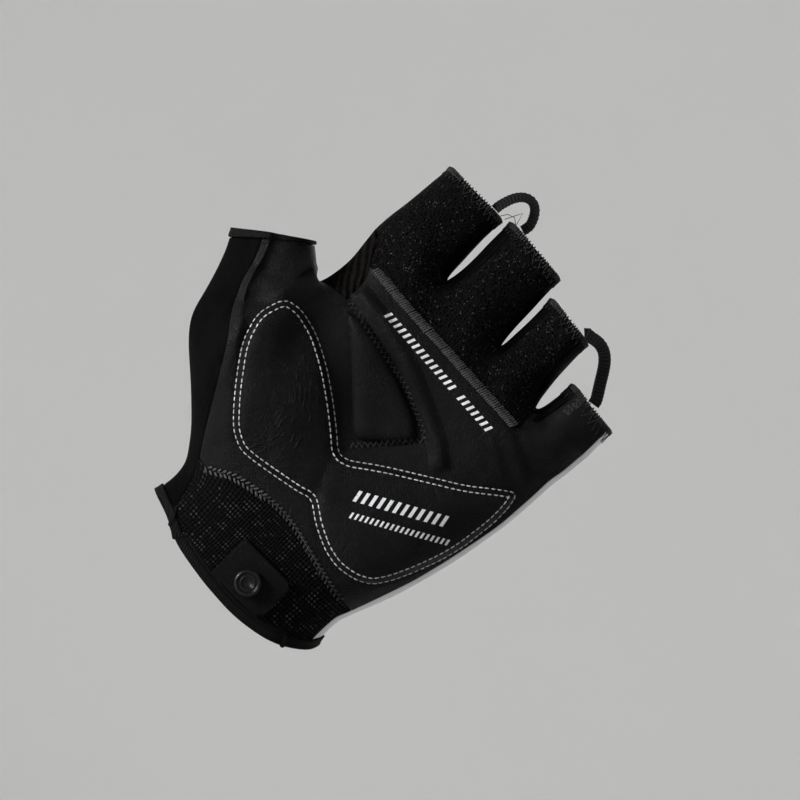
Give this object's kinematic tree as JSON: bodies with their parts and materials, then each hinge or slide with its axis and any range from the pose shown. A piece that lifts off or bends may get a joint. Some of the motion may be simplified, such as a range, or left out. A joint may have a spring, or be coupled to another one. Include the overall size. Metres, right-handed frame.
{
  "type": "fingerless cycling glove, left hand",
  "caption": "Black fingerless cycling glove for a left hand, with grained leather palm, padded overlays, knit fingers, pull loops and a press stud.",
  "frame": {"origin": "centre of the wrist opening, where the glove sits on a wrist", "axes": "+Z along the fingers, palm faces -Y, thumb towards -X, little finger towards +X"},
  "size_m": [0.1279, 0.0464, 0.1563],
  "materials": {
    "leather": "fine grained, satin",
    "knit": "open knit mesh, matte",
    "stretch": "smooth stretch fabric, matte",
    "gusset_knit": "ribbed knit, matte",
    "back_fabric": "plain light fabric, matte",
    "binding": "rolled edge tape, matte",
    "tape": "ribbed tape",
    "patch": "flat brushed patch, matte",
    "snap_metal": "gloss black"
  },
  "bodies": {
    "root": {"palm_leather": "leather", "finger_mesh": "knit", "wrist_mesh": "knit", "back_panel": "back_fabric", "thumb_panel": "stretch", "web_gusset": "gusset_knit", "fourchette_index_middle": "stretch", "fourchette_middle_ring": "stretch", "fourchette_ring_little": "stretch", "wrist_binding": "binding", "thumb_binding": "binding", "carpal_pad": "leather", "palm_pad": "leather", "knuckle_pad": "leather", "snap_tab": "patch", "snap_socket": "snap_metal", "pull_loop_index_middle": "tape", "pull_loop_ring_little": "tape"}
  },
  "joints": []
}
